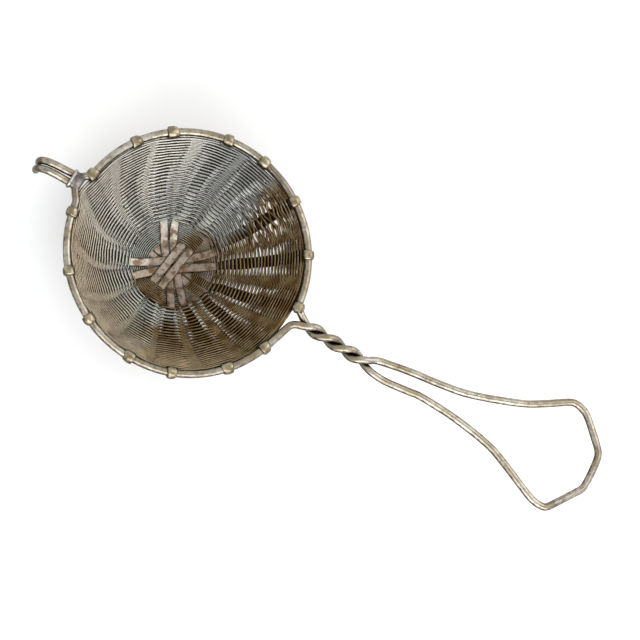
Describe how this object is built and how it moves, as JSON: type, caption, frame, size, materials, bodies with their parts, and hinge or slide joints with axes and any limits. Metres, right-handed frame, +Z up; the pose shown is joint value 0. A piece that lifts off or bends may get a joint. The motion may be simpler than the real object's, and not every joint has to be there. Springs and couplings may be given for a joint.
{
  "type": "tea strainer",
  "caption": "Deep round basket of woven wire over flat strips, on a stout wire rim with small knuckles, with a twisted wire handle that opens into a long loop and a hook opposite it.",
  "frame": {"origin": "centre of the rim ring, in the plane of the rim wire's middle", "axes": "+X along the handle, away from the basket; +Z up out of the basket; the hook is on the -X side"},
  "size_m": [0.1812, 0.0717, 0.026],
  "materials": {
    "frame_wire": "worn silver plate over brass, tarnished, satin",
    "bare_brass": "brass rubbed bare, satin, dark in its crevices",
    "flat_strip": "brass strip, dull, with brown stains",
    "weaving_wire": "fine tarnished silvery wire with brown and green stains"
  },
  "bodies": {
    "root": {"rim_wire_left": "frame_wire", "rim_wire_right": "frame_wire", "twist_strand_left": "frame_wire", "twist_strand_right": "frame_wire", "handle_wire_left": "frame_wire", "handle_wire_right": "frame_wire", "handle_loop_end": "frame_wire", "hook_prong_left": "frame_wire", "hook_prong_right": "frame_wire", "hook_collar": "bare_brass", "knuckle_01": "bare_brass", "knuckle_02": "bare_brass", "knuckle_03": "bare_brass", "knuckle_04": "bare_brass", "knuckle_05": "bare_brass", "knuckle_06": "bare_brass", "knuckle_07": "bare_brass", "knuckle_08": "bare_brass", "knuckle_09": "bare_brass", "knuckle_10": "bare_brass", "knuckle_11": "bare_brass", "knuckle_12": "bare_brass", "knuckle_13": "bare_brass", "knuckle_14": "bare_brass", "knuckle_15": "bare_brass", "warp_strip_1": "flat_strip", "warp_strip_2": "flat_strip", "warp_strip_3": "flat_strip", "warp_strip_4": "flat_strip", "warp_strip_5": "flat_strip", "warp_strip_6": "flat_strip", "warp_strip_7": "flat_strip", "warp_strip_8": "flat_strip", "weft_base": "weaving_wire", "weft_lower": "weaving_wire", "weft_middle": "weaving_wire", "weft_upper": "weaving_wire"}
  },
  "joints": []
}
